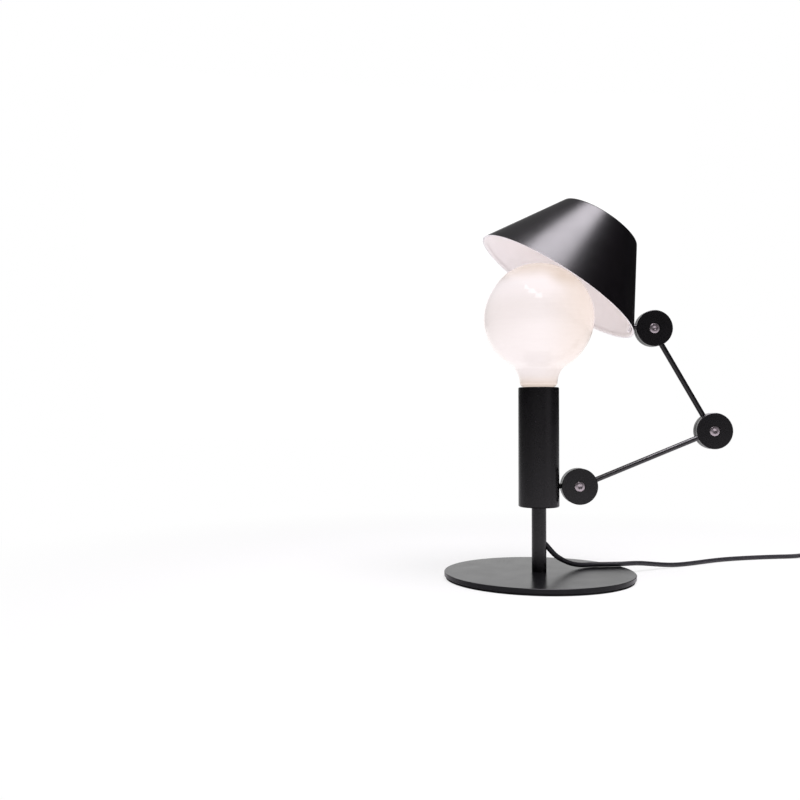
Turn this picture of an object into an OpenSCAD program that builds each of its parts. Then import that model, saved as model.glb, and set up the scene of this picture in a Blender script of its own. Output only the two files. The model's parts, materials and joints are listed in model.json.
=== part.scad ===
// Desk lamp: round foot, two-link friction arm, cone shade over a globe bulb.
// Millimetres, +Z up, origin at the centre of the foot's underside.
// +X is the side the arm leans to and -Y is the side the hinge screws face.

/* [Foot] */
// Diameter of the steel foot plate
base_d = 214; // [160:1:260]
// Thickness of the steel foot plate
plate_t = 5; // [4.5:0.1:8]
// Chamfer on the plate's upper and lower edge
plate_chamfer = 0.5; // [0.2:0.1:1.5]
// Thickness of the pad under the plate
pad_t = 2.5; // [1:0.1:4]
// How far the pad's edge stays inside the plate's
pad_inset = 1.8; // [0.5:0.1:6]

/* [Stem] */
// Outer diameter of the stem
stem_d = 16.5; // [14:0.5:20]
// Wall of the stem
stem_wall = 2; // [1:0.1:2.5]
// Length of the stem between plate and tube
stem_h = 73; // [60:1:100]
// Height of the plug in the stem's foot
plug_h = 14; // [8:0.5:18]
// Height of the threaded insert in the stem's top
insert_h = 12; // [6:0.5:16]
// Diameter of the slanted cord hole in the stem
cord_hole_d = 7.6; // [7.3:0.1:8.4]

/* [Foot screw] */
// Diameter of the screw that holds the stem
foot_screw_d = 6; // [5:0.5:6]
// Length of that screw under its head
foot_screw_len = 12; // [8:0.5:14]
// Diameter of its low head
foot_head_d = 10.5; // [9:0.5:14]
// Height of its low head
foot_head_h = 2.6; // [1.5:0.1:2.8]
// Space round and under that head in the plate
foot_head_gap = 0.4; // [0.2:0.1:0.8]

/* [Tube] */
// Outer diameter of the tube
tube_d = 46; // [43:0.5:60]
// Wall of the tube
tube_wall = 2; // [1:0.1:2.2]
// Length of the tube
tube_h = 135; // [125:1:170]
// Thickness of the tube's floor
tube_floor = 3; // [2:0.5:6]
// Rounding of the tube's top edge
tube_round = 1.4; // [0.3:0.1:1.8]
// Chamfer of the tube's bottom edge
tube_chamfer = 1; // [0.3:0.1:2]

/* [Threaded nipple] */
// Outer diameter of the hollow threaded nipple
nipple_d = 10; // [9.5:0.5:11]
// Bore of the nipple
nipple_bore = 7; // [6.6:0.1:8]
// Diameter of the washer on the tube's floor
washer_d = 28; // [20:0.5:36]
// Thickness of that washer
washer_t = 1.5; // [1:0.1:3]
// Width across the corners of the nipple's nut
nut_d = 16; // [14:0.5:20]
// Thickness of the nipple's nut
nut_t = 3; // [2:0.5:6]

/* [Lampholder] */
// Free space between lampholder and tube wall
holder_gap = 1.5; // [0.5:0.1:3]
// Height of the lampholder's lower cap
holder_cap_h = 18; // [16:0.5:22]
// Wall of the lampholder's cap
holder_wall = 2; // [1.5:0.1:3]
// Thread engagement of the nipple in the cap
nipple_grip = 7; // [5:0.5:9]
// Thickness of the lampholder's contact floor
holder_floor = 6; // [4:0.5:8]
// Thickness of the lampholder's metal screw shell
shell_t = 0.8; // [0.5:0.1:1.2]
// Side of the two square terminals
terminal_w = 5; // [4:0.5:6]
// Height of the terminals
terminal_h = 7; // [6:0.5:9]
// Distance of each terminal from the axis
terminal_x = 9; // [8:0.5:10]
// Diameter of the terminal screws
terminal_screw_d = 2.5; // [2:0.1:3]
// Diameter of a lead's insulation
lead_d = 2.2; // [1.8:0.1:2.4]

/* [Bulb] */
// Diameter of the globe
bulb_d = 125; // [95:1:130]
// Length of the bulb from contact tip to crown
bulb_len = 176; // [150:1:185]
// Wall of the globe's glass
glass_t = 1; // [0.6:0.1:2]
// Diameter of the bulb's screw cap
cap_d = 26.4; // [25.6:0.1:27]
// Height of the screw cap's metal shell
cap_h = 20.5; // [18:0.5:22]
// Height of the insulator under the metal shell
insulator_h = 3; // [2:0.1:4]
// Height of the contact tip
tip_h = 1.3; // [0.8:0.1:2]
// How deep the contact tip sits below the tube's top
bulb_sink = 35; // [34:0.5:38]
// Diameter of the glass neck over the tube
neck_d = 42.4; // [38:0.2:46]
// Gap between the collar under the neck and the tube
neck_gap = 3.1; // [1:0.1:4]
// Gap between the screw cap and the lampholder's shell
cap_gap = 0.35; // [0.2:0.05:0.6]

/* [Hinge discs] */
// Diameter of a hinge disc
disc_d = 41; // [34:0.5:44]
// Thickness of a hinge disc
disc_t = 6.4; // [6:0.1:12]
// Gap between the two discs of a hinge
hinge_gap = 0.7; // [0.4:0.1:1.5]
// Chamfer on a disc's edges
disc_chamfer = 0.5; // [0.1:0.1:1]
// Diameter of the friction washer between the discs
friction_d = 34; // [20:0.5:34]
// Diameter of the hinge screw
bolt_d = 6; // [5:0.5:6]
// Diameter of the hinge screw's button head
head_d = 11.6; // [10:0.2:12]
// Height of the button head
head_h = 3.2; // [2.6:0.1:3.4]
// Width across flats of its socket
socket_af = 5.5; // [4:0.5:6]
// Diameter of the counterbore that takes the head
sink_d = 12.2; // [12.1:0.1:14]
// Depth of the counterbore
sink_h = 3.2; // [2.8:0.1:4.2]
// Depth of the tapped hole in the back disc
tap_h = 5.2; // [4:0.1:5.4]
// Diameter of the small hole in the back disc's far face
vent_d = 3; // [1.5:0.5:4]

/* [Arms] */
// Diameter of both rods and both stubs
rod_d = 6; // [5:0.5:6.5]
// Diameter of the thin rod ends inside the discs
spigot_d = 4; // [3:0.5:5]
// How deep a rod sits in its disc
rod_seat = 11; // [6:0.5:11.5]
// Space between the tube and the disc of the lowest hinge
stub_gap = 1.8; // [1:0.1:10]
// Height of the lowest hinge above the tube's lower end
hinge_up = 23; // [20.5:0.5:40]
// Distance between the lowest hinge and the elbow
lower_len = 164.7; // [150:0.1:180]
// Slope of the lower link above the horizontal
lower_angle = 22.3; // [16:0.1:30]
// Distance between the elbow and the shade hinge
upper_len = 134.3; // [128:0.1:142]
// Slope of the upper link above the horizontal
upper_angle = 120; // [118:0.5:126]
// Width across the corners of the stub nuts
stub_nut_d = 11; // [9:0.5:12]
// Thickness of the stub nuts
stub_nut_t = 3; // [3:0.5:5]

/* [Shade] */
// Diameter of the shade's open rim
rim_d = 202; // [190:0.5:215]
// Diameter of the shade's closed top
top_d = 96.8; // [80:0.2:110]
// Height of the shade along its own axis
shade_h = 88.3; // [80:0.1:100]
// Thickness of the shade's sheet
sheet_t = 1; // [0.6:0.1:1.5]
// Thickness of the turned-in hem at the rim
hem_t = 1.8; // [1.6:0.1:3]
// Height of that hem
hem_h = 2.5; // [1.5:0.5:4]
// Rounding of the shade's top edge
top_round = 3; // [2:0.5:8]
// Tilt of the shade's axis towards the arm
shade_tilt = 34.1; // [30:0.1:38]
// Free space between the shade hinge's disc and the sheet
shade_gap = 4.7; // [4:0.1:8]
// Distance of the shade's stub from the rim along the sheet
stub_up = 11.5; // [9:0.1:20]

/* [Supply cord] */
// Diameter of the supply cord
cord_d = 5.5; // [5:0.1:6]
// Diameter of the strain relief where it leaves the stem
boot_d1 = 7; // [6.2:0.1:7]
// Diameter of the strain relief at its free end
boot_d2 = 5.9; // [5.6:0.1:6]
// Mean diameter of the tied coil
coil_d = 66; // [60:1:80]
// Width of the coil's bundle
bundle_w = 17.2; // [14:0.2:20]
// Height of the coil's bundle
bundle_h = 11.4; // [10:0.2:14]
// Width of the tie round the bundle
tie_w = 5; // [3:0.5:8]
// Thickness of the tie
tie_t = 0.8; // [0.4:0.1:0.9]

/* [Cord switch] */
// Length of the switch body without its nozzles
switch_len = 50; // [46:1:60]
// Width of the switch body
switch_w = 24; // [22:0.5:30]
// Height of the switch body
switch_h = 15; // [14:0.5:18]
// Wall of the switch body
switch_wall = 2; // [1.5:0.1:2.5]
// Length of the cord nozzle at each end
nozzle_len = 5; // [3:0.5:8]
// Diameter of the cord nozzles
nozzle_d = 9; // [7:0.5:11]
// Length of the rocker
rocker_len = 18.4; // [14:0.2:19]
// Width of the rocker
rocker_w = 10.4; // [8:0.2:12]
// Radius of the rocker's round ends about its pin
rocker_r = 12; // [11.4:0.1:12.2]
// How far the rocker is tilted when it is off
rocker_tilt = 7; // [4:0.5:7]
// Gap at each end of the rocker
rocker_end_gap = 1.2; // [1:0.1:2]
// Gap at each side of the rocker
rocker_side_gap = 0.3; // [0.2:0.05:0.6]
// Diameter of the rocker's pin
pin_d = 2; // [1.6:0.1:2.6]
// Diameter of the two case screws
case_screw_d = 2.5; // [2:0.1:3]
// Diameter of the case screws' heads
case_head_d = 4.6; // [4:0.1:5]
// Height of the case screws' heads
case_head_h = 1.6; // [1:0.1:2]

/* [Plug] */
// Length of the plug body
plug_len = 34; // [30:0.5:40]
// Width of the plug body at the pins
plug_w = 34; // [30:0.5:38]
// Width of the plug body at the cord
plug_neck_w = 15; // [12:0.5:20]
// Thickness of the plug body
plug_t = 14; // [12:0.5:18]
// Length of the plug's cord boot
plug_boot_len = 17; // [10:0.5:22]
// Distance between the pins
pin_pitch = 18.6; // [17.5:0.1:19.2]
// Diameter of a pin
plug_pin_d = 4; // [3.8:0.1:4.8]
// Length of a pin outside the body
plug_pin_len = 19; // [17:0.5:20]
// Length of the insulated part of a pin
sleeve_len = 10; // [6:0.5:12]
// Thickness of that insulation
sleeve_t = 0.3; // [0.2:0.05:0.5]

/* [Fits] */
// Radial clearance of a turning fit
run_fit = 0.05; // [0.02:0.01:0.08]
// Radial clearance between pieces fixed to each other
seat_fit = 0.03; // [0.01:0.01:0.06]
// Radial clearance of a loose hole round a screw
hole_fit = 0.2; // [0.1:0.05:0.4]

/* [Hidden] */

$fn = 96;
EPS = 0.01;
black = [0.05, 0.05, 0.06];
dark = [0.09, 0.09, 0.1];
steel = [0.72, 0.7, 0.7];
brass = [0.8, 0.65, 0.35];

// heights of the stack
base_top = pad_t + plate_t;
stem_top = base_top + stem_h;
tube_top = stem_top + tube_h;
stem_bore = stem_d - 2 * stem_wall;
tube_r = tube_d / 2;
tube_in = tube_r - tube_wall;
foot_seat = pad_t + foot_head_h + foot_head_gap;

// bulb and lampholder, hung from the tube's top
tip_z = tube_top - bulb_sink;
cap_z = tip_z + tip_h + insulator_h;
glass_z = cap_z + cap_h;
globe_z = tip_z + bulb_len - bulb_d / 2;
collar_r = min(tube_in - neck_gap, neck_d / 2 - 3);
contact_h = 4.5;
floor_z = tip_z - contact_h;
holder_z = floor_z - holder_floor;
holder_cap_z = holder_z - holder_cap_h;
holder_r = tube_in - holder_gap;
shell_in = cap_d / 2 + cap_gap;
shell_out = shell_in + shell_t;

// hinge centres in the X-Z plane and the middle of each layer of discs
layer = (hinge_gap + disc_t) / 2;
front_y = -layer;
back_y = layer;
disc_r = disc_d / 2;
rod_tip = disc_r - rod_seat;
function polar(r, a) = [r * cos(a), r * sin(a)];
hinge_a = [tube_r + stub_gap + disc_r, stem_top + hinge_up];
hinge_b = hinge_a + polar(lower_len, lower_angle);
hinge_c = hinge_b + polar(upper_len, upper_angle);

// shade: unit vectors in its own profile, radius first and height second
rim_r = rim_d / 2;
top_r = top_d / 2;
slant = sqrt(pow(rim_r - top_r, 2) + pow(shade_h, 2));
up_dir = [(top_r - rim_r) / slant, shade_h / slant];
out_dir = [shade_h / slant, (rim_r - top_r) / slant];
out_angle = atan2(out_dir[1], out_dir[0]);
stub_foot = [rim_r, 0] + stub_up * up_dir;
shade_pivot = stub_foot + (disc_r + shade_gap) * out_dir;
stub_angle = 180 - shade_tilt + out_angle;
stub_reach = disc_r + shade_gap + sheet_t;
// the stub nut clears the round inside of the sheet by this much
nut_back = pow(layer + stub_nut_d / 2, 2) / rim_d + 0.3;

// places of the pieces on the cord
lay = 0.1;
switch_x = 421;
switch_y = 142;
split_z = switch_h / 2;
coil_x = 448;
coil_y = 75;
coil_z = lay + tie_t + 0.2;
plug_x = 387;
plug_y = 36.5;
plug_z = lay + plug_t / 2;

// route of the cord from the stem's hole up through the nipple, to where its jacket is stripped
inner_foot = 60;
jacket_end = holder_cap_z - 4;
inner_pts = concat([[6, 0, 39], [4.4, 0, 40.8], [2.6, 0, 43.5], [1.2, 0, 47.5], [0.4, 0, 53]],
    [for (i = [0 : 6]) [0, 0, inner_foot + (jacket_end - inner_foot) * i / 6]]);
// strain relief from the stem's hole outwards
boot_pts = [[6, 0, 39], [8, 0, 37], [12.5, 0.9, 32], [17.5, 2.6, 26.6], [23, 5.4, 22.2], [29, 9, 18.6]];
// over the foot plate, down to the table and on to the switch
run_pts = [[29, 9, 18.6], [36.5, 13.8, 15], [44.5, 19, 12.4], [53, 24, 10.9], [65, 29.4, 10.4],
    [77, 31.6, 10.4], [89, 32.8, 10.4], [101, 34.4, 10.4], [113, 38.2, 10.4], [125, 44, 9.7],
    [137, 51.2, 8], [149, 58.6, 6.1], [161, 65.6, 4.4], [173, 71.8, 3.3], [185, 77.8, 2.9],
    [197, 84.4, 2.9], [209, 91.8, 2.9], [221, 99.6, 2.9], [233, 107.1, 2.9], [245.5, 114, 2.9],
    [258.5, 119.8, 2.9], [272, 124.8, 2.9], [286, 129.2, 2.9], [300, 133, 2.9], [314, 136.2, 2.9],
    [328, 138.8, 2.9], [341, 140.8, 2.9], [352.5, 141.8, 3.3], [363, 142, 4.6], [373.5, 142, 6.5],
    [383, 142, 7.5], [391, 142, 7.5]];
// from the switch round to the coil
tail_pts = [[451, 142, 7.5], [458, 142, 7.5], [472, 138, 6.9], [482.6, 127.4, 5.8], [486.4, 113, 4.6],
    [486.6, 100, 4], [486.6, 88, 4]];
// from the coil to the plug
end_pts = [[436, 36.5, 9.4], [424, 36.5, 8.4], [413, 36.5, 7.1], [404, 36.5, 7.1]];

// ---- helpers ----
// cylinder along +Y from y = 0
module ycyl(d, h) { rotate([-90, 0, 0]) cylinder(d = d, h = h); }
// cylinder along the direction "a" of the X-Z plane, from the distance s to e
module along(a, d, s, e) { rotate([0, 90 - a, 0]) translate([0, 0, s]) cylinder(d = d, h = e - s); }
module at(p, y = 0) { translate([p[0], y, p[1]]) children(); }
module tube(d_out, d_in, h) {
    difference() {
        cylinder(d = d_out, h = h);
        translate([0, 0, -EPS]) cylinder(d = d_in, h = h + 2 * EPS);
    }
}
module hex_nut(d, bore, h) {
    difference() {
        cylinder(d = d, h = h, $fn = 6);
        translate([0, 0, -EPS]) cylinder(d = bore, h = h + 2 * EPS);
    }
}
function unit(v) = v / norm(v);
// direction of the route at its point i, with the points that come before and after it, if any
function heading(p, i, before, after) = let(last = len(p) - 1)
    unit((i < last ? p[i + 1] : (after == undef ? p[last] : after)) - (i > 0 ? p[i - 1] : (before == undef ? p[0] : before)));
// flat rings square to the route, their first corner turned away from +Z
function ring(c, dir, r, n) = let(side = unit(cross(dir, abs(dir[2]) > 0.95 ? [0, 1, 0] : [0, 0, 1])),
    other = cross(side, dir)) [for (k = [0 : n - 1]) c + r * (side * cos(360 * k / n) + other * sin(360 * k / n))];
// tube along the points p, its diameter going from d1 to d2, its ends square to the route
module sweep(p, d1, d2, n = 10, before = undef, after = undef) {
    last = len(p) - 1;
    rings = [for (i = [0 : last]) ring(p[i], heading(p, i, before, after), (d1 + (d2 - d1) * i / last) / 2, n)];
    polyhedron(points = [for (r = rings) each r], faces = concat(
        [[for (k = [0 : n - 1]) k], [for (k = [n - 1 : -1 : 0]) last * n + k]],
        [for (i = [0 : last - 1]) for (k = [0 : n - 1]) for (f = [0, 1]) let(a = i * n + k, b = i * n + (k + 1) % n)
            f == 0 ? [a, a + n, b + n] : [a, b + n, b]]));
}

// ---- foot and stem ----
module base_pad() {
    color(dark) cylinder(d = base_d - 2 * pad_inset, h = pad_t, $fn = 180);
}
module base_plate() {
    r = base_d / 2;
    c = plate_chamfer;
    color(dark) difference() {
        translate([0, 0, pad_t]) rotate_extrude($fn = 180)
            polygon([[0, 0], [r - c, 0], [r, c], [r, plate_t - c], [r - c, plate_t], [0, plate_t]]);
        translate([0, 0, pad_t - EPS]) cylinder(d = foot_head_d + 2 * foot_head_gap, h = foot_seat - pad_t + EPS);
        cylinder(d = foot_screw_d + 2 * hole_fit, h = base_top + 1);
    }
}
module foot_screw() {
    color(steel) difference() {
        union() {
            translate([0, 0, foot_seat - foot_head_h]) cylinder(d = foot_head_d, h = foot_head_h);
            translate([0, 0, foot_seat - EPS]) cylinder(d = foot_screw_d, h = foot_screw_len + EPS);
        }
        translate([0, 0, foot_seat - foot_head_h - EPS]) cylinder(d = foot_screw_d * 0.75, h = 1.6, $fn = 6);
    }
}
module stem_plug() {
    color(steel) translate([0, 0, base_top])
        tube(stem_bore - 2 * seat_fit, foot_screw_d + 2 * seat_fit, plug_h);
}
module stem() {
    color(black) difference() {
        translate([0, 0, base_top]) tube(stem_d, stem_bore, stem_h);
        // the hole slants down at 45 degrees round the cord's first stretch
        translate([0, 0, 45]) rotate([0, 135, 0]) cylinder(d = cord_hole_d, h = stem_d);
    }
}
module stem_insert() {
    color(steel) translate([0, 0, stem_top - insert_h])
        tube(stem_bore - 2 * seat_fit, nipple_d + 2 * seat_fit, insert_h);
}
module nipple() {
    z = stem_top - insert_h;
    color(brass) translate([0, 0, z]) tube(nipple_d, nipple_bore, holder_cap_z + nipple_grip - z);
}

// ---- tube ----
module tube_housing() {
    r = tube_r;
    f = tube_round;
    inner = tube_in;
    color(black) difference() {
        translate([0, 0, stem_top]) rotate_extrude($fn = 128) polygon(concat(
            [[0, 0], [r - tube_chamfer, 0], [r, tube_chamfer]],
            [for (a = [0 : 15 : 90]) [r - f + f * cos(a), tube_h - f + f * sin(a)]],
            [[inner, tube_h], [inner, tube_floor], [0, tube_floor]]));
        translate([0, 0, stem_top - 1]) cylinder(d = nipple_d + 2 * hole_fit, h = tube_floor + 2);
        at([0, hinge_a[1]], back_y) along(0, rod_d + 2 * seat_fit, tube_r / 2, tube_r + 1);
    }
}
module nipple_washer() {
    color(steel) translate([0, 0, stem_top + tube_floor]) tube(washer_d, nipple_d + 2 * hole_fit, washer_t);
}
module nipple_nut() {
    color(brass) translate([0, 0, stem_top + tube_floor + washer_t])
        hex_nut(nut_d, nipple_d + 2 * seat_fit, nut_t);
}

// ---- lampholder ----
module holder_cap() {
    w = holder_wall;
    lip = nipple_grip;
    color("ivory") translate([0, 0, holder_cap_z]) difference() {
        rotate_extrude() polygon([[0, 0], [nipple_d / 2 + 3, 0], [holder_r, lip], [holder_r, holder_cap_h],
            [holder_r - w, holder_cap_h], [holder_r - w, lip + 1], [nipple_d / 2 + 2, lip], [0, lip]]);
        translate([0, 0, -1]) cylinder(d = nipple_d + 2 * seat_fit, h = lip + 2);
    }
}
module holder_body() {
    h = glass_z - holder_z - 0.6;
    color("ivory") translate([0, 0, holder_z]) difference() {
        cylinder(r = holder_r, h = h);
        translate([0, 0, holder_floor]) cylinder(r = shell_out + seat_fit, h = h);
    }
}
module holder_shell() {
    color(brass) translate([0, 0, floor_z]) difference() {
        cylinder(r = shell_out, h = glass_z - floor_z - 1);
        translate([0, 0, shell_t]) cylinder(r = shell_in, h = glass_z - floor_z);
        translate([0, 0, -1]) cylinder(r = shell_in - 2, h = 3);
    }
}
module holder_contact() {
    color(brass) translate([0, 0, floor_z]) {
        translate([-8, -2.5, 0]) cube([16, 5, 0.8]);
        cylinder(d = 5, h = contact_h, $fn = 32);
    }
}
module holder_terminals() {
    color(brass) for (s = [-1, 1]) translate([s * terminal_x, 0, holder_z - terminal_h]) difference() {
        translate([-terminal_w / 2, -terminal_w / 2, 0]) cube([terminal_w, terminal_w, terminal_h]);
        translate([0, 0, terminal_h / 2 + 1]) rotate([90, 0, 0])
            translate([0, 0, -terminal_w]) cylinder(d = terminal_screw_d + 2 * seat_fit, h = 2 * terminal_w, $fn = 32);
    }
}
module terminal_screws() {
    color(steel) for (s = [-1, 1]) translate([s * terminal_x, -terminal_w / 2, holder_z - terminal_h / 2 + 1]) {
        ycyl(terminal_screw_d, terminal_w, $fn = 32);
        translate([0, -1.5, 0]) ycyl(terminal_screw_d * 1.6, 1.5, $fn = 32);
    }
}
module leads() {
    top = holder_z - terminal_h;
    color("sienna") for (s = [-1, 1])
        sweep([[s * lead_d * 0.55, 0, jacket_end], [s * lead_d * 0.55, 0, top - 4.4], [s * 2.6, 0, top - 2.6],
            [s * (terminal_x - 2.6), 0, top - 2.2], [s * terminal_x, 0, top - 1.3], [s * terminal_x, 0, top]],
            lead_d, lead_d, 8);
}

// ---- bulb ----
function mix3(a, b, c, d, t) = pow(1 - t, 3) * a + 3 * t * pow(1 - t, 2) * b + 3 * t * t * (1 - t) * c + pow(t, 3) * d;
// profile of the glass at the distance w inside its outer face, from neck to crown
function glass(w) = let(r = bulb_d / 2, s = r - w, q = asin(30 / r), neck = neck_d / 2 - w, edge = collar_r - w,
    foot = [[cap_d / 2 - 0.6 - w, glass_z + EPS], [cap_d / 2 + 0.4 - w, glass_z + 1.6], [edge - 0.4, tube_top - 2],
        [edge, tube_top], [edge, tube_top + 0.8 + w], [edge + 1.4, tube_top + 1.3 + w],
        [neck - 0.6, tube_top + 2.6 + 0.6 * w], [neck, tube_top + 4.4]],
    p0 = [neck, tube_top + 6], p3 = [s * sin(q), globe_z - s * cos(q)])
    concat(foot, [for (i = [0 : 8]) mix3(p0, p0 + [0.8, 8], p3 - [4 * cos(q), 4 * sin(q)], p3, i / 8)],
        [for (i = [1 : 30]) let(a = q + (180 - q) * i / 30) [s * sin(a), globe_z - s * cos(a)]]);
module bulb_globe() {
    outer = glass(0);
    inner = glass(glass_t);
    n = len(inner) - 1;
    color([0.98, 0.94, 0.92]) rotate_extrude($fn = 128)
        polygon(concat(outer, [for (i = [n : -1 : 0]) inner[i]]));
}
module bulb_cap() {
    color(steel) translate([0, 0, cap_z]) difference() {
        cylinder(d = cap_d, h = cap_h);
        translate([0, 0, 0.8]) cylinder(d = cap_d - 1.4, h = cap_h);
        translate([0, 0, -1]) cylinder(d = cap_d - 14, h = 3);
    }
}
module bulb_insulator() {
    color("black") translate([0, 0, tip_z + tip_h]) cylinder(d1 = 11, d2 = cap_d - 4, h = insulator_h);
}
module bulb_tip() {
    color(steel) translate([0, 0, tip_z]) cylinder(d1 = 6, d2 = 9, h = tip_h);
}

// ---- hinges ----
module disc_blank() {
    c = disc_chamfer;
    rotate([-90, 0, 0]) rotate_extrude()
        polygon([[0, 0], [disc_r - c, 0], [disc_r, c], [disc_r, disc_t - c], [disc_r - c, disc_t], [0, disc_t]]);
}
// disc with the screw's head in its face, and a rod seat in the direction a
module front_disc(a) {
    difference() {
        translate([0, front_y - disc_t / 2, 0]) disc_blank();
        translate([0, front_y - disc_t, 0]) ycyl(bolt_d + 2 * run_fit, 2 * disc_t);
        translate([0, front_y - disc_t / 2 - 1, 0]) ycyl(sink_d, sink_h + 1);
        translate([0, front_y, 0]) along(a, spigot_d + 2 * seat_fit, rod_tip, disc_r + 1);
    }
}
// disc with the thread, and a rod seat in the direction a
module back_disc(a) {
    difference() {
        translate([0, back_y - disc_t / 2, 0]) disc_blank();
        translate([0, hinge_gap / 2 - 1, 0]) ycyl(bolt_d + 2 * seat_fit, tap_h + 1);
        ycyl(vent_d, disc_t + hinge_gap + 1);
        translate([0, back_y, 0]) along(a, spigot_d + 2 * seat_fit, rod_tip, disc_r + 1);
    }
}
module friction_washer() {
    t = hinge_gap - run_fit;
    translate([0, hinge_gap / 2 - t, 0]) difference() {
        ycyl(friction_d, t);
        translate([0, -1, 0]) ycyl(bolt_d + 2 * hole_fit, t + 2);
    }
}
module hinge_screw() {
    face = front_y - disc_t / 2;
    under = face + sink_h - run_fit;
    r = head_d / 2;
    shank = hinge_gap / 2 + tap_h - 0.3 - under;
    difference() {
        union() {
            translate([0, under, 0]) rotate([90, 0, 0]) rotate_extrude($fn = 64)
                polygon([[0, 0], [r, 0], [r, head_h * 0.8], [r - 0.8, head_h * 0.9],
                    [r - 1.7, head_h * 0.97], [r - 2.5, head_h], [0, head_h]]);
            translate([0, under - EPS, 0]) ycyl(bolt_d, shank + EPS);
        }
        translate([0, under - head_h - EPS, 0]) rotate([-90, 0, 0])
            cylinder(d = socket_af / cos(30), h = head_h * 0.5, $fn = 6);
        // drilled cone under the socket
        translate([0, under - head_h * 0.5 - EPS, 0]) rotate([-90, 0, 0])
            cylinder(d1 = socket_af * 0.9, d2 = 0, h = socket_af * 0.15, $fn = 32);
    }
}
// stub with a thin end in the disc, in the direction a up to the distance e
module stub(a, e) {
    along(a, spigot_d, rod_tip, disc_r + 1);
    along(a, rod_d, disc_r + seat_fit, e);
}
module link_rod(p, a, length, y) {
    at(p, y) {
        along(a, spigot_d, rod_tip, length - rod_tip);
        along(a, rod_d, disc_r + seat_fit, length - disc_r - seat_fit);
    }
}

module a_back_disc() { color(black) at(hinge_a) back_disc(180); }
module a_front_disc() { color(black) at(hinge_a) front_disc(lower_angle); }
module a_washer() { color(dark) at(hinge_a) friction_washer(); }
module a_screw() { color(steel) at(hinge_a) hinge_screw(); }
// the stub's nut bears on the round inside of the tube with its far edge
a_nut_x = sqrt(pow(tube_in, 2) - pow(back_y + stub_nut_d / 2, 2)) - 0.05;
module a_stub() {
    color(black) at(hinge_a, back_y) stub(180, hinge_a[0] - a_nut_x + stub_nut_t + 0.5);
}
module a_stub_nut() {
    color(steel) translate([a_nut_x - stub_nut_t, back_y, hinge_a[1]]) rotate([0, 90, 0])
        hex_nut(stub_nut_d, rod_d + 2 * seat_fit, stub_nut_t);
}
module lower_rod() { color(black) link_rod(hinge_a, lower_angle, lower_len, front_y); }
module b_front_disc() { color(black) at(hinge_b) front_disc(lower_angle + 180); }
module b_washer() { color(dark) at(hinge_b) friction_washer(); }
module b_screw() { color(steel) at(hinge_b) hinge_screw(); }
module b_back_disc() { color(black) at(hinge_b) back_disc(upper_angle); }
module upper_rod() { color(black) link_rod(hinge_b, upper_angle, upper_len, back_y); }
module c_back_disc() { color(black) at(hinge_c) back_disc(upper_angle + 180); }
module c_washer() { color(dark) at(hinge_c) friction_washer(); }
module c_screw() { color(steel) at(hinge_c) hinge_screw(); }
module c_front_disc() { color(black) at(hinge_c) front_disc(stub_angle); }

// ---- shade ----
module shade_stub() {
    color(black) at(hinge_c, front_y) stub(stub_angle, stub_reach + nut_back + stub_nut_t - 0.3);
}
// round cap nut over the stub's end
module shade_nut() {
    color("white") at(hinge_c, front_y) rotate([0, 90 - stub_angle, 0]) translate([0, 0, stub_reach + nut_back])
        difference() {
            union() {
                cylinder(d = stub_nut_d, h = stub_nut_t);
                translate([0, 0, stub_nut_t - EPS]) cylinder(d1 = stub_nut_d, d2 = stub_nut_d - 3, h = 1);
            }
            translate([0, 0, -EPS]) cylinder(d = rod_d + 2 * seat_fit, h = stub_nut_t);
        }
}
module shade_shell() {
    f = top_round;
    // arc between sheet and top, and the radius of the outer face at a height
    arc = [rim_r, 0] + (slant - f * tan((90 - out_angle) / 2)) * up_dir - f * out_dir;
    function face_r(h) = rim_r - (rim_r - top_r) * h / shade_h;
    function edge(r, a) = [arc[0] + r * cos(a), arc[1] + r * sin(a)];
    steps = [for (i = [0 : 6]) out_angle + (90 - out_angle) * i / 6];
    color(black) difference() {
        at(hinge_c) rotate([0, shade_tilt, 0]) translate([-shade_pivot[0], 0, -shade_pivot[1]])
            rotate_extrude($fn = 160) polygon(concat(
                [[rim_r, 0]], [for (a = steps) edge(f, a)],
                [[0, shade_h], [0, shade_h - sheet_t]], [for (i = [6 : -1 : 0]) edge(f - sheet_t, steps[i])],
                [[face_r(hem_h) - sheet_t / out_dir[0], hem_h], [face_r(hem_h) - hem_t / out_dir[0], hem_h],
                 [rim_r - hem_t / out_dir[0], 0]]));
        at(hinge_c, front_y) along(stub_angle, rod_d + 2 * seat_fit, disc_r + 1, stub_reach + nut_back + 4);
    }
}

// ---- supply cord ----
module inner_cord() { color(dark) sweep(inner_pts, cord_d, cord_d, before = boot_pts[1]); }
module cord_boot() { color(black) sweep(boot_pts, boot_d1, boot_d2, before = inner_pts[1], after = run_pts[1]); }
module cord_run() { color(dark) sweep(run_pts, cord_d, cord_d, before = boot_pts[len(boot_pts) - 2]); }
module cord_tail() { color(dark) sweep(tail_pts, cord_d, cord_d); }
module cord_end() { color(dark) sweep(end_pts, cord_d, cord_d); }
module cord_coil() {
    r = coil_d / 2;
    w = bundle_w / 2;
    c = cord_d / 4;
    color(dark) translate([coil_x, coil_y, coil_z]) rotate_extrude()
        polygon([[r - w + c, 0], [r + w - c, 0], [r + w, c], [r + w, bundle_h - c], [r + w - c, bundle_h],
            [r - w + c, bundle_h], [r - w, bundle_h - c], [r - w, c]]);
}
module coil_tie() {
    gap = 0.2;
    w = bundle_w + 2 * gap;
    h = bundle_h + 2 * gap;
    color(black) translate([coil_x - coil_d / 2, coil_y, coil_z + bundle_h / 2]) difference() {
        cube([w + 2 * tie_t, tie_w, h + 2 * tie_t], center = true);
        cube([w, tie_w + 1, h], center = true);
    }
}

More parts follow.
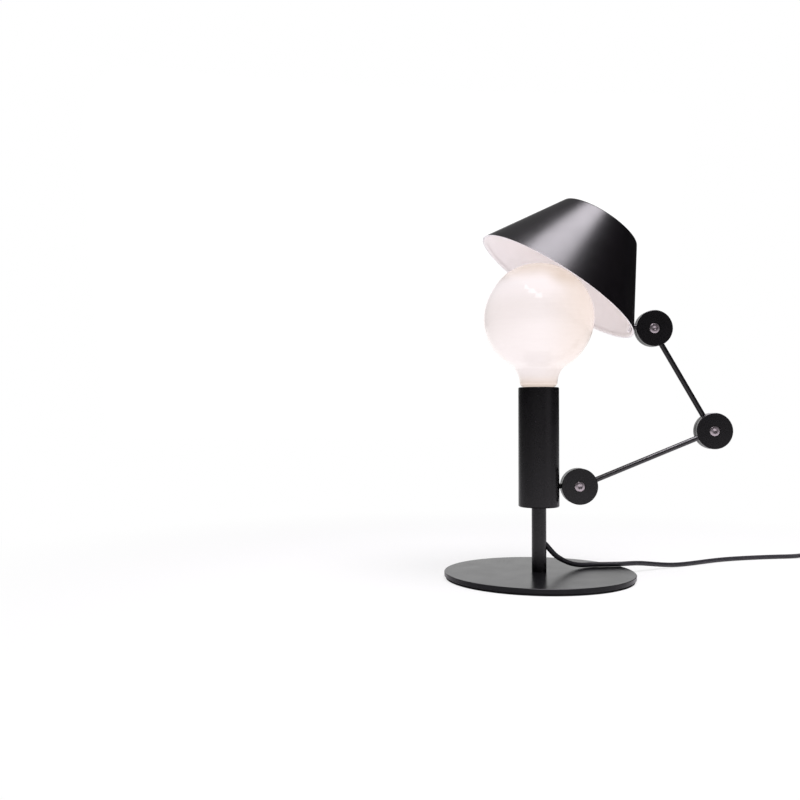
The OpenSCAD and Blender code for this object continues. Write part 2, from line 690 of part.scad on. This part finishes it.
// ---- switch on the cord ----
module switch_outline() {
    half = (switch_len - switch_w) / 2;
    square([2 * half, switch_w], center = true);
    for (s = [-1, 1]) translate([s * half, 0]) circle(d = switch_w);
}
// nozzles at both ends, cut to the half between the heights z1 and z2
module nozzles(z1, z2) {
    intersection() {
        translate([-switch_len / 2 - nozzle_len, 0, split_z]) rotate([0, 90, 0])
            cylinder(d = nozzle_d, h = switch_len + 2 * nozzle_len);
        translate([-switch_len, -switch_w, z1]) cube([2 * switch_len, 2 * switch_w, z2 - z1]);
    }
}
module pin_bore(d) {
    translate([0, -switch_w, split_z]) ycyl(d, 2 * switch_w);
}
case_screw_x = switch_len / 2 - switch_wall - case_head_d / 2 - 1;
cavity = [rocker_len + 2 * rocker_end_gap + 2, rocker_w + 2 * rocker_side_gap + 2];
module at_switch() { translate([switch_x, switch_y, 0]) children(); }
module case_screw_holes(d, z1, z2) {
    for (s = [-1, 1]) translate([s * case_screw_x, 0, z1]) cylinder(d = d, h = z2 - z1, $fn = 32);
}
module switch_base() {
    color(black) at_switch() difference() {
        union() {
            translate([0, 0, lay]) linear_extrude(split_z - lay) switch_outline();
            nozzles(lay, split_z);
        }
        translate([-cavity[0] / 2, -cavity[1] / 2, switch_wall]) cube([cavity[0], cavity[1], switch_h]);
        pin_bore(pin_d + 2 * seat_fit);
        case_screw_holes(case_screw_d + 2 * hole_fit, 0, switch_h);
        case_screw_holes(case_head_d + 2 * hole_fit, 0, case_head_h + lay + 0.4);
    }
}
module switch_cover() {
    window = [rocker_len + 2 * rocker_end_gap, rocker_w + 2 * rocker_side_gap];
    color(black) at_switch() difference() {
        union() {
            translate([0, 0, split_z]) linear_extrude(switch_h - split_z) switch_outline();
            nozzles(split_z, switch_h);
        }
        translate([-cavity[0] / 2, -cavity[1] / 2, 0]) cube([cavity[0], cavity[1], switch_h - switch_wall]);
        translate([-window[0] / 2, -window[1] / 2, 0]) cube([window[0], window[1], switch_h + 1]);
        pin_bore(pin_d + 2 * seat_fit);
        case_screw_holes(case_screw_d + 2 * seat_fit, 0, split_z + 4.5);
    }
}
module switch_rocker() {
    crown = switch_h - split_z + 0.6;
    color(dark) at_switch() translate([0, 0, split_z]) rotate([0, -rocker_tilt, 0])
        translate([0, -rocker_w / 2, 0]) difference() {
            intersection() {
                ycyl(2 * rocker_r, rocker_w);
                rotate([90, 0, 0]) translate([0, 0, -rocker_w - 1]) linear_extrude(rocker_w + 2)
                    polygon([[-rocker_len / 2, -2], [rocker_len / 2, -2], [rocker_len / 2, crown + 1],
                        [0, crown], [-rocker_len / 2, crown + 1]]);
            }
            translate([0, -1, 0]) ycyl(pin_d + 2 * run_fit, rocker_w + 2);
        }
}
module switch_pin() {
    len_y = cavity[1] + 5;
    color(steel) at_switch() translate([0, -len_y / 2, split_z]) ycyl(pin_d, len_y);
}
module switch_screws() {
    color(steel) at_switch() for (s = [-1, 1]) translate([s * case_screw_x, 0, lay + 0.4]) {
        cylinder(d = case_head_d, h = case_head_h, $fn = 32);
        cylinder(d = case_screw_d, h = split_z + 3.5, $fn = 32);
    }
}

// ---- plug ----
module plug_body() {
    w = plug_w / 2;
    n = plug_neck_w / 2;
    color(black) translate([plug_x, plug_y, lay]) difference() {
        linear_extrude(plug_t) polygon([[0, -n], [0, n], [-plug_len * 0.55, w], [-plug_len + 2, w],
            [-plug_len, w - 2], [-plug_len, 2 - w], [-plug_len + 2, -w], [-plug_len * 0.55, -w]]);
        for (s = [-1, 1]) translate([-plug_len - 1, s * pin_pitch / 2, plug_t / 2]) rotate([0, 90, 0])
            cylinder(d = plug_pin_d + 2 * seat_fit, h = plug_len * 0.4 + 1, $fn = 32);
    }
}
module plug_boot() {
    color(black) translate([plug_x, plug_y, plug_z]) rotate([0, 90, 0])
        cylinder(d1 = plug_neck_w * 0.7, d2 = cord_d + 1.2, h = plug_boot_len);
}
module plug_pins() {
    r = plug_pin_d / 2;
    color(steel) for (s = [-1, 1]) translate([plug_x - plug_len, plug_y + s * pin_pitch / 2, plug_z])
        rotate([0, -90, 0]) rotate_extrude($fn = 32) polygon([[0, -plug_len * 0.4], [r, -plug_len * 0.4], [r, 0],
            [r - sleeve_t, 0], [r - sleeve_t, sleeve_len], [r, sleeve_len], [r, plug_pin_len - r],
            [r * 0.86, plug_pin_len - r * 0.5], [r * 0.5, plug_pin_len - r * 0.14], [0, plug_pin_len]]);
}
module plug_sleeves() {
    color("black") for (s = [-1, 1]) translate([plug_x - plug_len, plug_y + s * pin_pitch / 2, plug_z])
        rotate([0, -90, 0]) tube(plug_pin_d, plug_pin_d - 2 * sleeve_t, sleeve_len, $fn = 32);
}

base_pad();
base_plate();
foot_screw();
stem_plug();
stem();
stem_insert();
nipple();
tube_housing();
nipple_washer();
nipple_nut();
holder_cap();
holder_body();
holder_shell();
holder_contact();
holder_terminals();
terminal_screws();
leads();
bulb_globe();
bulb_cap();
bulb_insulator();
bulb_tip();
a_back_disc();
a_stub();
a_stub_nut();
a_washer();
a_screw();
a_front_disc();
lower_rod();
b_front_disc();
b_washer();
b_screw();
b_back_disc();
upper_rod();
c_back_disc();
c_washer();
c_screw();
c_front_disc();
shade_stub();
shade_nut();
shade_shell();
inner_cord();
cord_boot();
cord_run();
switch_base();
switch_cover();
switch_rocker();
switch_pin();
switch_screws();
cord_tail();
cord_coil();
coil_tie();
cord_end();
plug_body();
plug_boot();
plug_pins();
plug_sleeves();
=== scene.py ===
import json
import math

import bpy
from mathutils import Matrix, Vector


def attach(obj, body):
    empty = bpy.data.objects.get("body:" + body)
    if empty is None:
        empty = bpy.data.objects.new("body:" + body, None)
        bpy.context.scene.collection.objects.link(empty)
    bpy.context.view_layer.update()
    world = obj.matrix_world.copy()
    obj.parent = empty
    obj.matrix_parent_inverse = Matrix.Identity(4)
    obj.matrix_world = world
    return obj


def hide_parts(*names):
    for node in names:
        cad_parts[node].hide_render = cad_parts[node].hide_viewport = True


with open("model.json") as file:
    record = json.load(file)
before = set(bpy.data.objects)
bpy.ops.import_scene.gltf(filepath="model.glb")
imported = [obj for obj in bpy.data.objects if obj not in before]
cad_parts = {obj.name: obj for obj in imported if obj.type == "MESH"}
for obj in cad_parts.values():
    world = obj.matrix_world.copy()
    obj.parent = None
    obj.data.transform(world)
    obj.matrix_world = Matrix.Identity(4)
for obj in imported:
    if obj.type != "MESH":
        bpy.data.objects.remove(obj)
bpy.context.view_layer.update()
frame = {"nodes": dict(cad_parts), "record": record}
scene = bpy.context.scene
link = scene.collection.objects.link
MM = 0.001
UP = (0, 0, 1)
TO_THE_BACK = (0, 1, 0)


# ---- camera ----
cam_data = bpy.data.cameras.new("camera")
cam_data.lens = 40.5
cam_data.sensor_width = 36
camera = bpy.data.objects.new("camera", cam_data)
camera.location = (-0.1572, -1.0207, 0.1796)
camera.rotation_euler = (math.radians(91.21), 0, 0)
link(camera)
scene.camera = camera


# ---- supply cord: its route in mm, from the stem to the plug ----
CORD_D = 0.0055
BOOT = [(6, 0, 39), (8, 0, 37), (12.5, 0.9, 32), (17.5, 2.6, 26.6), (23, 5.4, 22.2), (29, 9, 18.6)]
RUN = [(36.5, 13.8, 15), (44.5, 19, 12.4), (53, 24, 10.9), (65, 29.4, 10.4),
       (77, 31.6, 10.4), (89, 32.8, 10.4), (101, 34.4, 10.4), (113, 38.2, 10.4), (125, 44, 9.7),
       (137, 51.2, 8), (149, 58.6, 6.1), (161, 65.6, 4.4), (173, 71.8, 3.3), (185, 77.8, 2.9),
       (197, 84.4, 2.9), (209, 91.8, 2.9), (221, 99.6, 2.9), (233, 107.1, 2.9), (245.5, 114, 2.9),
       (258.5, 119.8, 2.9), (272, 124.8, 2.9), (286, 129.2, 2.9), (300, 133, 2.9),
       (314, 136.2, 2.9), (328, 138.8, 2.9), (341, 140.8, 2.9), (352.5, 141.8, 3.3),
       (363, 142, 4.6), (373.5, 142, 6.5), (383, 142, 7.5), (391, 142, 7.5), (421, 142, 7.5)]
TAIL = [(451, 142, 7.5), (458, 142, 7.5), (472, 138, 6.9), (482.6, 127.4, 5.8),
        (486.4, 113, 4.6), (486.6, 100, 4), (486.6, 88, 4)]
END = [(436, 36.5, 9.4), (424, 36.5, 8.4), (413, 36.5, 7.1), (404, 36.5, 7.1), (396, 36.5, 7.1)]

# the coil's centre and turns in mm, and the part of a turn in which the cord moves to the next
COIL = (448, 75)
COIL_RADII = [38.6, 33, 27.4, 27.4, 33, 38.6]
COIL_TURNS, POINTS_PER_TURN, TOP_TURN = 5.25, 20, 3
COIL_FLOOR, COIL_RISE = 4.0, 5.6
STEP_IN, STEP_UP, STEP_OUT = (0.72, 1), (0.68, 0.92), (0.53, 0.78)

# the strain relief's diameters and the depth of its rings in mm, and how finely it is divided
WIDE_END, NARROW_END, RING_DEPTH = 6.5, 5.85, 0.3
STEPS_PER_SPAN, LAST_PLAIN_STEP, RING_STEPS = 8, 12, (1, 2)


def eased(x, start, end):
    """0 up to start, 1 from end on, and a smooth step between them."""
    t = min(max((x - start) / (end - start), 0), 1)
    return t * t * (3 - 2 * t)


def coil_points():
    """Five turns and a quarter: three side by side on the table, the rest on top of them."""
    out = []
    for i in range(int(COIL_TURNS * POINTS_PER_TURN) + 1):
        turns = i / POINTS_PER_TURN
        k = min(int(turns), len(COIL_RADII) - 1)
        part = turns - k
        r, z = COIL_RADII[k], COIL_FLOOR + (COIL_RISE if k >= TOP_TURN else 0)
        if k == TOP_TURN - 1:
            z += COIL_RISE * eased(part, *STEP_UP)
        elif k < len(COIL_RADII) - 1:
            r += (COIL_RADII[k + 1] - r) * eased(part, *(STEP_OUT if k >= TOP_TURN else STEP_IN))
        a = -2 * math.pi * turns
        out.append((COIL[0] + r * math.cos(a), COIL[1] + r * math.sin(a), z))
    return out


def curve(name, points, diameters, resolution=8):
    """Round tube through points in mm, with a diameter in metres at each of them."""
    data = bpy.data.curves.new(name, "CURVE")
    data.dimensions = "3D"
    data.bevel_depth = 1.0  # so that a point's radius is the tube's own
    data.bevel_resolution = 5
    data.resolution_u = resolution
    data.use_fill_caps = True
    spline = data.splines.new("BEZIER")
    spline.bezier_points.add(len(points) - 1)
    for p, c, diameter in zip(spline.bezier_points, points, diameters):
        p.co = Vector(c) * MM
        p.handle_left_type = p.handle_right_type = "AUTO"
        p.radius = diameter / 2
    obj = bpy.data.objects.new(name, data)
    link(obj)
    return obj


def strain_relief():
    """Tapered moulded sleeve with shallow rings, along the cord's first stretch."""
    pts = [Vector(p) for p in BOOT]
    last = len(pts) - 1
    n = STEPS_PER_SPAN * last
    fine, diameters = [], []
    for i in range(n + 1):
        u = i / n * last
        k = min(int(u), last - 1)
        t = u - k
        p0, p1, p2, p3 = pts[max(k - 1, 0)], pts[k], pts[k + 1], pts[min(k + 2, last)]
        fine.append(0.5 * ((2 * p1) + (p2 - p0) * t + (2 * p0 - 5 * p1 + 4 * p2 - p3) * t * t
                           + (3 * p1 - p0 - 3 * p2 + p3) * t * t * t))
        ring = RING_DEPTH if i > LAST_PLAIN_STEP and i % 4 in RING_STEPS else 0
        diameters.append((WIDE_END + (NARROW_END - WIDE_END) * i / n - ring) * MM)
    return curve("strain_relief", fine, diameters, resolution=2)


relief = strain_relief()
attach(relief, "stand")
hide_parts("cord_boot")

route = BOOT[1:] + RUN + TAIL + coil_points() + END
cord = curve("supply_cord", route, [CORD_D] * len(route))
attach(cord, "stand")
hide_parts("cord_run", "cord_tail", "cord_coil", "cord_end")


# ---- shader helpers: m is a material or the world, and p a Principled shader ----
def material(name, base, roughness, metallic=0.0, ior_level=0.5, coat=0.0, coat_rough=0.1):
    m = bpy.data.materials.new(name)
    m.use_nodes = True
    m.diffuse_color = (*base, 1)
    p = m.node_tree.nodes["Principled BSDF"]
    p.inputs["Base Color"].default_value = (*base, 1)
    p.inputs["Roughness"].default_value = roughness
    p.inputs["Metallic"].default_value = metallic
    p.inputs["Specular IOR Level"].default_value = ior_level
    p.inputs["Coat Weight"].default_value = coat
    p.inputs["Coat Roughness"].default_value = coat_rough
    return m, p


def put(m, sock, value):
    """Sets an input to a number or a tuple, or links it to another node's output."""
    if isinstance(value, (int, float, tuple)):
        sock.default_value = value
    else:
        m.node_tree.links.new(value, sock)


def coords(m, output="Object"):
    return m.node_tree.nodes.new("ShaderNodeTexCoord").outputs[output]


def noise(m, scale, detail, rough=0.5):
    n = m.node_tree.nodes.new("ShaderNodeTexNoise")
    n.inputs["Scale"].default_value = scale
    n.inputs["Detail"].default_value = detail
    n.inputs["Roughness"].default_value = rough
    put(m, n.inputs["Vector"], coords(m))
    return n.outputs["Fac"]


def map_range(m, value, start, end, low, high, kind):
    r = m.node_tree.nodes.new("ShaderNodeMapRange")
    r.interpolation_type = kind
    for name, number in (("From Min", start), ("From Max", end), ("To Min", low), ("To Max", high)):
        r.inputs[name].default_value = number
    put(m, r.inputs["Value"], value)
    return r.outputs["Result"]


def ramp(m, value, start, end, low=0.0, high=1.0):
    """Smooth step from low at start to high at end."""
    return map_range(m, value, start, end, low, high, "SMOOTHSTEP")


def spread(m, fac, low, high):
    """A noise's middle range, drawn out to run from low to high."""
    return map_range(m, fac, 0.3, 0.7, low, high, "LINEAR")


def blend(m, fac, a, b):
    """Mixes two colours, each a tuple or another node's output."""
    n = m.node_tree.nodes.new("ShaderNodeMix")
    n.data_type = "RGBA"
    for sock, v in ((n.inputs[6], a), (n.inputs[7], b)):
        put(m, sock, (*v, 1) if isinstance(v, tuple) else v)
    put(m, n.inputs[0], fac)
    return n.outputs[2]


def mottled(m, scale, detail, a, b):
    """Tone that varies a little over the surface."""
    return blend(m, spread(m, noise(m, scale, detail), 0, 1), a, b)


def bump(m, p, scale, detail, distance):
    """Fine relief in the surface, its distance in metres."""
    b = m.node_tree.nodes.new("ShaderNodeBump")
    b.inputs["Distance"].default_value = distance
    put(m, b.inputs["Height"], noise(m, scale, detail))
    put(m, p.inputs["Normal"], b.outputs["Normal"])


def math_node(m, kind, a, b):
    n = m.node_tree.nodes.new("ShaderNodeMath")
    n.operation = kind
    put(m, n.inputs[0], a)
    put(m, n.inputs[1], b)
    return n.outputs[0]


def vector_node(m, kind, a, b=None):
    n = m.node_tree.nodes.new("ShaderNodeVectorMath")
    n.operation = kind
    put(m, n.inputs[0], a)
    if b is not None:
        put(m, n.inputs["Scale" if kind == "SCALE" else 1], b)
    return n.outputs["Value" if kind in ("DOT_PRODUCT", "LENGTH") else "Vector"]


# ---- lacquers ----
def lacquer(name, base, light, rough, rough_high, peel=0.00002, ior_level=0.5):
    """Baked lacquer: a very fine orange peel, faint clouding, gloss that varies a little."""
    m, p = material(name, base, rough, ior_level=ior_level)
    put(m, p.inputs["Base Color"], mottled(m, 60, 4, base, light))
    put(m, p.inputs["Roughness"], spread(m, noise(m, 35, 5, rough=0.6), rough, rough_high))
    bump(m, p, 900, 2, peel)
    return m, p


BLACK = ((0.0020, 0.0016, 0.0022), (0.0031, 0.0025, 0.0034))
SHADE_BLACK = ((0.0022, 0.0017, 0.0023), (0.0034, 0.0028, 0.0036))
INNER_WHITE = ((0.93, 0.90, 0.91), (0.95, 0.93, 0.94))
black, _ = lacquer("black_lacquer", *BLACK, 0.24, 0.30, ior_level=0.40)
rod, _ = lacquer("rod_lacquer", *BLACK, 0.30, 0.36, ior_level=0.66)
foot, _ = lacquer("foot_lacquer", (0.009, 0.009, 0.010), (0.012, 0.012, 0.0135), 0.22, 0.26,
                  peel=0.000004, ior_level=0.12)
painted, _ = lacquer("inner_lacquer", *INNER_WHITE, 0.30, 0.36)
shade, sp = lacquer("shade_lacquer", *SHADE_BLACK, 0.30, 0.35, ior_level=0.40)

# the shade is black outside and white inside, told apart by which way the sheet faces
TILT = math.radians(34.1)
AXIS = (math.sin(TILT), 0, math.cos(TILT))
CENTRE = (0.0211, 0, 0.3289)
from_centre = vector_node(shade, "SUBTRACT", coords(shade), CENTRE)
along = vector_node(shade, "SCALE", AXIS, vector_node(shade, "DOT_PRODUCT", from_centre, AXIS))
from_axis = vector_node(shade, "SUBTRACT", from_centre, along)
outward = vector_node(shade, "ADD", vector_node(shade, "NORMALIZE", from_axis), AXIS)
facing = vector_node(shade, "DOT_PRODUCT", outward, coords(shade, "Normal"))
inside = math_node(shade, "LESS_THAN", facing, 0.0)
black_out = sp.inputs["Base Color"].links[0].from_socket
white_in = mottled(shade, 45, 4, *INNER_WHITE)
put(shade, sp.inputs["Base Color"], blend(shade, inside, black_out, white_in))


# ---- the globe: opal glass with a tinted collar and a weak glow, with light and shade painted into the glow's tint ----
GLASS_FOOT = 0.2155
COLLAR = (GLASS_FOOT + 0.001, GLASS_FOOT + 0.014)
NECK = (GLASS_FOOT, GLASS_FOOT + 0.018)
opal, op = material("opal_glass", (0.5, 0.49, 0.49), 0.35, ior_level=0.2, coat=0.9, coat_rough=0.05)
place = opal.node_tree.nodes.new("ShaderNodeSeparateXYZ")
put(opal, place.inputs[0], coords(opal))
across, height = place.outputs["X"], place.outputs["Z"]
cloudy = mottled(opal, 18, 3, (0.27, 0.265, 0.27), (0.25, 0.245, 0.25))
collar = ramp(opal, height, *COLLAR, 1.0, 0.0)
put(opal, op.inputs["Base Color"], blend(opal, collar, cloudy, (0.30, 0.25, 0.21)))

# the glow's tint, and where it changes, as painted light and shade: painted shade on the right
# side, painted light on the upper left, painted shade at the crown under the shade, darker and
# warmer painted shade at the upper right, and painted shade at the neck beside the tube; each mask
# is 0 to 1 over heights or places across
painted_shade_right = ramp(opal, across, -0.01, 0.045)
painted_light_upper_left = math_node(opal, "MULTIPLY", ramp(opal, height, 0.300, 0.330),
                       ramp(opal, across, 0.0, 0.03, 1.0, 0.0))
painted_shade_crown = ramp(opal, height, 0.328, 0.352)
painted_warm_shade_upper_right = math_node(opal, "MULTIPLY", ramp(opal, height, 0.318, 0.338),
                        ramp(opal, across, -0.005, 0.022))
painted_shade_neck = ramp(opal, height, *NECK, 1.0, 0.0)
tint = (0.70, 0.63, 0.61)
# each local tint is painted light or painted shade laid over the glow
for mask, local in ((painted_shade_right, (0.645, 0.54, 0.465)), (painted_light_upper_left, (0.80, 0.73, 0.73)),
                    (painted_shade_crown, (0.55, 0.445, 0.36)), (painted_warm_shade_upper_right, (0.53, 0.42, 0.325)),
                    (painted_shade_neck, (0.645, 0.555, 0.495))):
    tint = blend(opal, mask, tint, local)
put(opal, op.inputs["Emission Color"], tint)
op.inputs["Emission Strength"].default_value = 1.0
bump(opal, op, 40, 2, 0.00003)


# ---- metals, rubber and plastics ----
def surface(name, base, rough, tones, tone_scale, gloss, gloss_scale, gloss_detail=3,
            relief=None, metallic=0.0, ior_level=0.5):
    """Tone and gloss that vary a little, and relief as the scale, detail and depth of a bump."""
    m, p = material(name, base, rough, metallic, ior_level)
    put(m, p.inputs["Base Color"], mottled(m, tone_scale, 4, *tones))
    put(m, p.inputs["Roughness"], spread(m, noise(m, gloss_scale, gloss_detail), *gloss))
    if relief:
        bump(m, p, *relief)
    return m


stainless = surface("screw_steel", (0.40, 0.355, 0.375), 0.30,
                    tones=((0.38, 0.335, 0.355), (0.42, 0.375, 0.395)), tone_scale=500,
                    gloss=(0.24, 0.36), gloss_scale=700, relief=(1500, 2, 0.00001), metallic=1.0)
steel = surface("steel", (0.56, 0.55, 0.55), 0.32,
                tones=((0.53, 0.52, 0.52), (0.59, 0.58, 0.58)), tone_scale=200,
                gloss=(0.25, 0.42), gloss_scale=300, metallic=1.0)
brass = surface("brass", (0.70, 0.52, 0.24), 0.3,
                tones=((0.66, 0.48, 0.21), (0.74, 0.56, 0.27)), tone_scale=150,
                gloss=(0.22, 0.4), gloss_scale=250, metallic=1.0)
nickel = surface("nickel", (0.66, 0.63, 0.58), 0.2,
                 tones=((0.63, 0.60, 0.55), (0.69, 0.66, 0.61)), tone_scale=300,
                 gloss=(0.14, 0.28), gloss_scale=500, metallic=1.0)
rubber = surface("pad_rubber", (0.010, 0.010, 0.011), 0.8,
                 tones=((0.008, 0.008, 0.009), (0.013, 0.013, 0.014)), tone_scale=400,
                 gloss=(0.74, 0.86), gloss_scale=250, relief=(900, 3, 0.00006), ior_level=0.15)
jacket = surface("cord_jacket", (0.024, 0.023, 0.027), 0.42,
                 tones=((0.023, 0.0225, 0.026), (0.033, 0.032, 0.037)), tone_scale=120,
                 gloss=(0.36, 0.5), gloss_scale=200, relief=(500, 3, 0.00004), ior_level=0.40)
plastic = surface("black_plastic", (0.018, 0.018, 0.020), 0.38,
                  tones=((0.016, 0.016, 0.018), (0.021, 0.021, 0.023)), tone_scale=90,
                  gloss=(0.32, 0.46), gloss_scale=90, gloss_detail=4, relief=(1800, 2, 0.00003))
rocker = surface("rocker_plastic", (0.03, 0.03, 0.033), 0.3,
                 tones=((0.027, 0.027, 0.030), (0.033, 0.033, 0.036)), tone_scale=120,
                 gloss=(0.24, 0.36), gloss_scale=120, gloss_detail=4, relief=(1500, 2, 0.00002))
holder = surface("holder_plastic", (0.70, 0.66, 0.55), 0.5,
                 tones=((0.68, 0.64, 0.53), (0.72, 0.68, 0.57)), tone_scale=80,
                 gloss=(0.44, 0.56), gloss_scale=200, relief=(300, 3, 0.00003))
fibre = surface("washer_fibre", (0.012, 0.012, 0.013), 0.8,
                tones=((0.009, 0.009, 0.010), (0.016, 0.016, 0.017)), tone_scale=300,
                gloss=(0.74, 0.86), gloss_scale=400, relief=(1200, 3, 0.00003), ior_level=0.2)
sheath = surface("lead_insulation", (0.10, 0.045, 0.02), 0.5,
                 tones=((0.09, 0.04, 0.018), (0.11, 0.05, 0.023)), tone_scale=150,
                 gloss=(0.44, 0.56), gloss_scale=300, relief=(700, 2, 0.00002))

LOOKS = {
    "pad": rubber, "foot_lacquer": foot, "black_lacquer": black, "shade_lacquer": shade,
    "steel": steel, "screw_steel": stainless, "inner_lacquer": painted, "brass": brass,
    "holder_plastic": holder, "lead_insulation": sheath, "opal_glass": opal,
    "cap_metal": nickel, "cap_insulator": plastic, "washer_fibre": fibre,
    "cord_jacket": jacket, "black_plastic": plastic, "rocker_plastic": rocker,
    "pin_metal": nickel,
}
SLOTS = {s["node"]: s["material_slot"] for s in frame["record"]["subparts"]}
for name, obj in frame["nodes"].items():
    look = rod if name == "lower_rod" else LOOKS[SLOTS[name]]
    if not obj.data.materials:
        obj.data.materials.append(look)
    for i in range(len(obj.data.materials)):
        obj.material_slots[i].material = look
cord.data.materials.append(jacket)
relief.data.materials.append(jacket)


# ---- softened edges on the switch, the plug and the coil's tie, widths in mm ----
for name, width in (("switch_base", 1.2), ("switch_cover", 1.2), ("switch_rocker", 0.5),
                    ("plug_body", 1.6), ("coil_tie", 0.3), ("plug_boot", 0.4)):
    mod = frame["nodes"][name].modifiers.new("edge", "BEVEL")
    mod.width = width * MM
    mod.segments = 3
    mod.limit_method = "ANGLE"
    mod.angle_limit = math.radians(40)


# ---- floor, lights and backdrop ----
FLOOR_SIZE, FLOOR_Z, FLOOR_TONE = 16, -0.0001, 0.86
NEAR, FAR = 0.3, 0.8           # distances from the lamp, in metres
WHITE_NEAR, WHITE_FAR = 0.76, 1.0
LIGHT_COLOR = (0.98, 0.93, 1.0)


def where_mirrored(m, rays, amount):
    """The amount for glossy and transmitted rays, and 0 for all others."""
    return math_node(m, "MULTIPLY", amount, math_node(
        m, "MAXIMUM", rays.outputs["Is Glossy Ray"], rays.outputs["Is Transmission Ray"]))


def floor():
    """Pale floor: it keeps the shadows near the lamp, and shows as white further out."""
    bpy.ops.mesh.primitive_plane_add(size=FLOOR_SIZE, location=(0, 0, FLOOR_Z))
    obj = bpy.context.object
    obj.name = "floor"
    m = bpy.data.materials.new("floor")
    m.use_nodes = True
    nodes = m.node_tree.nodes
    nodes.clear()
    out = nodes.new("ShaderNodeOutputMaterial")
    diffuse = nodes.new("ShaderNodeBsdfDiffuse")
    diffuse.inputs["Color"].default_value = (FLOOR_TONE, FLOOR_TONE, FLOOR_TONE, 1)
    white = nodes.new("ShaderNodeEmission")
    mix = nodes.new("ShaderNodeMixShader")
    rays = nodes.new("ShaderNodeLightPath")
    place = coords(m)
    behind = vector_node(m, "DOT_PRODUCT", vector_node(m, "NORMALIZE", place), TO_THE_BACK)
    reflected = where_mirrored(m, rays, ramp(m, behind, 0.7, 0.96, 0.17, 1.0))
    seen = math_node(m, "MAXIMUM", rays.outputs["Is Camera Ray"], reflected)
    whiteness = ramp(m, vector_node(m, "LENGTH", place), NEAR, FAR, WHITE_NEAR, WHITE_FAR)
    put(m, mix.inputs[0], math_node(m, "MULTIPLY", seen, whiteness))
    put(m, mix.inputs[1], diffuse.outputs[0])
    put(m, mix.inputs[2], white.outputs[0])
    put(m, out.inputs[0], mix.outputs[0])
    obj.data.materials.append(m)


def area(name, size, watts, location, target, turn=0.0):
    """Rectangular light that faces its target, turned about its own axis."""
    data = bpy.data.lights.new(name, "AREA")
    data.shape = "RECTANGLE"
    data.size, data.size_y = size
    data.energy = watts
    data.color = LIGHT_COLOR
    obj = bpy.data.objects.new(name, data)
    obj.location = location
    aim = (Vector(target) - Vector(location)).to_track_quat("-Z", "Y").to_matrix()
    obj.rotation_euler = (aim @ Matrix.Rotation(turn, 3, "Z")).to_euler()
    link(obj)


floor()
area("key", (0.74, 0.86), 30, (0.342, -0.29, 1.62), (0.342, -0.29, 0))
area("key_side", (0.18, 0.9), 7.7, (-0.118, -0.55, 1.62), (-0.118, -0.55, 0))
area("fill_right", (0.8, 0.8), 0.5, (1.15, -1.0, 0.42), (0, 0, 0.22))
area("strip", (0.35, 1.6), 6.2, (-0.28, -1.2, 1.55), (-0.28, -1.2, 0), math.radians(24))

# the globe's own light on the shade's inside: a ball from its middle to just outside the glass
glow = bpy.data.lights.new("glow", "POINT")
glow.energy = 0.046
glow.use_soft_falloff = False
glow.shadow_soft_size = 0.064
glow.color = (1.0, 0.97, 0.965)
bulb_light = bpy.data.objects.new("glow", glow)
bulb_light.location = (0, 0, 0.294)
bulb_light.visible_camera = False
bulb_light.visible_glossy = False
link(bulb_light)

# the studio: white behind the lamp, dim elsewhere, and plain white for the camera
CEILING = (-0.35, 0.6, 0.72)
FRONT = (0.17, -0.98, 0.1)
world = bpy.data.worlds.new("world")
scene.world = world
world.use_nodes = True
studio = world.node_tree.nodes["Background"]
studio.inputs["Color"].default_value = (1, 1, 1, 1)
rays = world.node_tree.nodes.new("ShaderNodeLightPath")
sight = coords(world, "Generated")
level = vector_node(world, "NORMALIZE", vector_node(world, "MULTIPLY", sight, (1, 1, 0)))


def patch(line, direction, start, end, low=0.0, high=1.0):
    """Brightness that goes from low to high as a line of sight turns to a direction."""
    return ramp(world, vector_node(world, "DOT_PRODUCT", line, direction), start, end, low, high)


backdrop = math_node(world, "MULTIPLY", patch(level, TO_THE_BACK, 0.90, 0.96),
                     patch(sight, UP, 0.30, 0.48, 1.0, 0.0))
ceiling = patch(sight, CEILING, 0.55, 0.95, 0.0, 0.22)
front = patch(sight, FRONT, 0.45, 0.9, 0.012, 0.085)
strength = math_node(world, "ADD", math_node(world, "ADD", backdrop, ceiling), front)
seen = math_node(world, "MAXIMUM", rays.outputs["Is Camera Ray"],
                 where_mirrored(world, rays, backdrop))
put(world, studio.inputs["Strength"], math_node(world, "MAXIMUM", strength, seen))

scene.view_settings.view_transform = "Standard"

bpy.context.view_layer.update()
